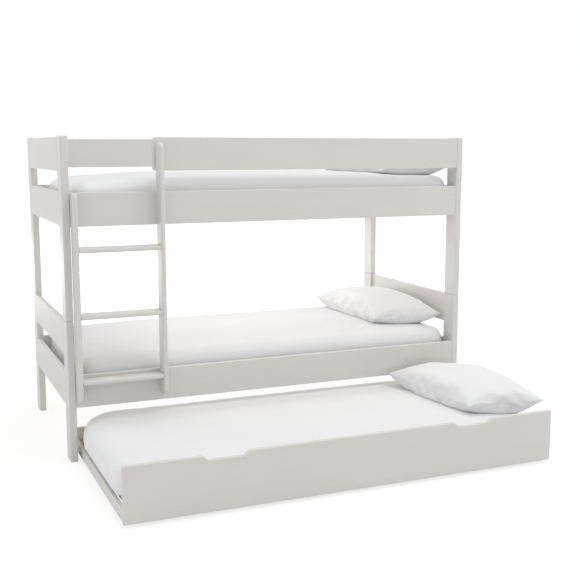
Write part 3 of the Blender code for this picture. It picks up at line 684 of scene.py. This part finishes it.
def build_mattress(node, body, seed, slumped=None):
    """A mattress in a plain fitted cover: the CAD form, evenly meshed, blown up a little and rippled."""
    low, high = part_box(node)
    piece = even_cover(node)
    keep_points(piece, [vertex.co - vertex.normal * MATTRESS_SLACK for vertex in piece.data.vertices])
    swell(piece, **MATTRESS_AIR)
    ripple(piece, high[2], seed)
    fit_to(piece, low, high)
    if slumped is not None:
        slump(piece, low, high, *slumped)
    refine(piece)
    unroll_cloth(piece, high[2])
    piece.data.materials.append(cotton(node + "_cotton"))
    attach(piece, body)
    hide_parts(node)
    return piece


def on_rim(i, j):
    """Whether a point of a pillowcase's grid lies on its sewn edge."""
    return i in (0, PILLOW_ACROSS) or j in (0, PILLOW_ALONG)


def sewn_blank(name, low, high, seed):
    """Two rectangles of cloth sewn together round the edge, half filled, with a cloth map in metres.

    Returns the piece, half its flat size, and each point's place across and along it, from -1 to 1."""
    middle = (low + high) / 2
    height = high[2] - low[2]
    half_x, half_y = ((high[i] - low[i]) / 2 * PILLOW_LOOSE[i] for i in range(2))
    scale_u, scale_v, scale_side = BLANK_UNEVEN_SCALES
    shape = bmesh.new()
    layer = shape.loops.layers.uv.new("cloth")
    crease = shape.edges.layers.float.new("crease_edge")
    points = {}
    shares = []
    for side in (1, -1):
        for i in range(PILLOW_ACROSS + 1):
            for j in range(PILLOW_ALONG + 1):
                rim = on_rim(i, j)
                if rim and side == -1:
                    points[side, i, j] = points[1, i, j]
                    continue
                u = 2 * i / PILLOW_ACROSS - 1
                v = 2 * j / PILLOW_ALONG - 1
                full = max((1 - u * u) * (1 - v * v), 0) ** 0.5
                spot = Vector((u * scale_u + seed, v * scale_v, side * scale_side))
                uneven = 0 if rim else noise.noise(spot) * BLANK_UNEVEN
                z = low[2] + height * BLANK_MIDDLE + side * full * height * BLANK_FULLNESS + uneven
                points[side, i, j] = shape.verts.new((middle.x + half_x * u, middle.y + half_y * v, z))
                shares.append((u, v))
    for side in (1, -1):
        for i in range(PILLOW_ACROSS):
            for j in range(PILLOW_ALONG):
                corners = [(i, j), (i + 1, j), (i + 1, j + 1), (i, j + 1)][::side]
                face = shape.faces.new([points[side, a, b] for a, b in corners])
                for loop, (a, b) in zip(face.loops, corners):
                    loop[layer].uv = (half_x * (2 * a / PILLOW_ACROSS - 1),
                                      half_y * (2 * b / PILLOW_ALONG - 1))
    rim_points = {point for (side, i, j), point in points.items() if on_rim(i, j)}
    for edge in shape.edges:
        if edge.verts[0] in rim_points and edge.verts[1] in rim_points:
            edge[crease] = SEAM_CREASE
    return piece_from(name, shape), (half_x, half_y), shares


def straighten(piece, shares, low, high, moves):
    """Pull a pillow's seam out to nearly straight sides, then pull its corners about."""
    middle = (low + high) / 2
    half = (high - low) / 2
    seam = low.z + SEAM_RISE
    points = [vertex.co.copy() for vertex in piece.data.vertices]
    spans = ({}, {})
    for (u, v), point in zip(shares, points):
        for axis, (here, other) in enumerate(((u, v), (v, u))):
            if abs(here) == 1:
                spans[axis].setdefault(other, [0, 0])[here > 0] = point[axis]
    upper_count = (PILLOW_ACROSS + 1) * (PILLOW_ALONG + 1)
    for index, ((u, v), point) in enumerate(zip(shares, points)):
        for axis, other in enumerate((v, u)):
            start, end = spans[axis][other]
            reach = half[axis] * (1 - SEAM_BOW[axis] * (1 - other * other))
            share = (point[axis] - start) / (end - start)
            point[axis] = middle[axis] + (2 * share - 1) * reach
        inset = min((1 - abs(u)) * half.x, (1 - abs(v)) * half.y)
        pinch = 1 - SEAM_PINCH * max(0.0, 1 - inset / SEAM_PINCH_REACH) ** 2
        height = (point.z - seam) * pinch
        if index >= upper_count:
            height = max(height, -UNDERCUT_SLOPE * inset)
        point.z = seam + height
        for (side_u, side_v), move in zip(CORNERS, moves):
            near = (1 + side_u * u) * (1 + side_v * v) / 4
            point += Vector((move[0] * near, move[1] * near, move[2] * near ** CORNER_SHARPNESS))
    keep_points(piece, points)


def rest_on(piece, support, gap):
    """Press the underside of a pillow flat on what it lies on."""
    tree = BVHTree.FromObject(support, bpy.context.evaluated_depsgraph_get())
    points = []
    for vertex in piece.data.vertices:
        point = vertex.co.copy()
        hit = tree.ray_cast(point + Vector((0, 0, PRESS_LOOK_UP)), Vector((0, 0, -1)))[0]
        if hit is not None:
            over = point.z - hit.z - gap
            if over < PRESS_DEPTH:
                point.z = hit.z + gap + max(0.0, (over + PRESS_DEPTH) / 2) ** 2 / (2 * PRESS_DEPTH)
        points.append(point)
    keep_points(piece, points)


def build_pillow(node, body, support, seed, moves):
    """A plump pillow in a plain white case, lying flat with its seam low and its corners off the mattress."""
    low, high = (Vector(corner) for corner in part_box(node))
    piece, half, shares = sewn_blank(node + "_case", low, high, seed)
    swell(piece, **PILLOW_AIR)
    buried = high.z - low.z - 2 * SEAM_RISE
    fit_to(piece, low - Vector((0, 0, buried)), high)
    straighten(piece, shares, low, high, moves)
    refine(piece)
    rest_on(piece, support, PILLOW_GAP)
    piece.data.materials.append(cotton(node + "_cotton", half))
    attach(piece, body)
    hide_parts(node)
    return piece


def build_bedding():
    """Mattresses and pillows of the three beds. The number given to each is its seed for uneven cloth."""
    lower = build_mattress("lower_mattress", "bed", 1.0, (LOWER_CROWN, LOWER_CORNER_PULL))
    upper = build_mattress("upper_mattress", "bed", 3.0, (UPPER_CROWN, UPPER_CORNER_PULL))
    rolled = build_mattress("trundle_mattress", "trundle", 5.0)
    build_pillow("lower_pillow", "bed", lower, 5.0, LOWER_PILLOW_CORNERS)
    build_pillow("upper_pillow", "bed", upper, 11.0, UPPER_PILLOW_CORNERS)
    pillow = build_pillow("trundle_pillow", "trundle", rolled, 17.0, TRUNDLE_PILLOW_CORNERS)
    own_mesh(pillow)


def build_floor():
    """A plain pale floor that runs out to white, and keeps the shadow under the bed."""
    bpy.ops.object.select_all(action="DESELECT")
    bpy.ops.mesh.primitive_plane_add(size=FLOOR_SIZE, location=(0, 0, -FLOOR_DROP))
    floor = bpy.context.object
    floor.name = "floor"
    finish = Finish("pale_floor")
    seen = finish.node("ShaderNodeLightPath", output="Is Camera Ray")
    x, y, _ = finish.split(finish.place())
    far = ((x * x + y * y) ** 0.5).ramp(*FLOOR_FADE)
    plain = finish.node("ShaderNodeBsdfDiffuse", None, {"Color": opaque((FLOOR_LEVEL,) * 3)})
    paper = finish.node("ShaderNodeBsdfDiffuse", None, {"Color": opaque((FLOOR_SHADOW,) * 3)})
    glow = finish.node("ShaderNodeEmission", None, {"Strength": far * FLOOR_FADE_GLOW + FLOOR_GLOW})
    shown = finish.node("ShaderNodeAddShader", None, (paper, glow))
    finish.show(finish.node("ShaderNodeMixShader", None, (seen, plain, shown)))
    floor.data.materials.append(finish.material)


def build_sky():
    """White all round where it is seen, and a plain soft level where it lights."""
    world = bpy.data.worlds.new("studio")
    bpy.context.scene.world = world
    sky = Nodes(world)
    rays = sky.outputs(sky.node("ShaderNodeLightPath"))
    seen = rays["Is Camera Ray"].most(rays["Is Glossy Ray"]).most(rays["Is Transmission Ray"])
    level = sky.node("ShaderNodeMapRange", None, {"Value": seen, "To Min": SKY_LEVEL, "To Max": SKY_SEEN})
    background = sky.node("ShaderNodeBackground", None, {"Color": opaque(WHITE), "Strength": level})
    sky.show(background, "ShaderNodeOutputWorld")


def build_lamps():
    """Large flat lamps, each aimed at a point and out of sight of the camera."""
    for name, (place, aim, width, height, power) in LAMPS.items():
        data = bpy.data.lights.new(name, "AREA")
        data.shape = "RECTANGLE"
        data.size = width
        data.size_y = height
        data.energy = power
        lamp = bpy.data.objects.new(name, data)
        bpy.context.scene.collection.objects.link(lamp)
        lamp.location = place
        lamp.rotation_euler = (Vector(aim) - Vector(place)).to_track_quat("-Z", "Y").to_euler()
        lamp.visible_camera = False


def build_camera():
    """The camera at the photograph's place and angle."""
    data = bpy.data.cameras.new("camera")
    data.sensor_fit = "HORIZONTAL"
    data.sensor_width = SENSOR_WIDTH
    data.lens = SENSOR_WIDTH * FOCAL_PIXELS / PICTURE_WIDTH
    data.clip_end = CAMERA_REACH
    camera = bpy.data.objects.new("camera", data)
    camera.location = CAMERA_PLACE
    camera.rotation_euler = (math.pi / 2 - CAMERA_DOWN, 0.0, CAMERA_PAN)
    bpy.context.scene.collection.objects.link(camera)
    bpy.context.scene.camera = camera


bpy.context.scene.view_settings.view_transform = "Standard"
finish_frame()
build_bedding()
build_floor()
build_sky()
build_lamps()
build_camera()
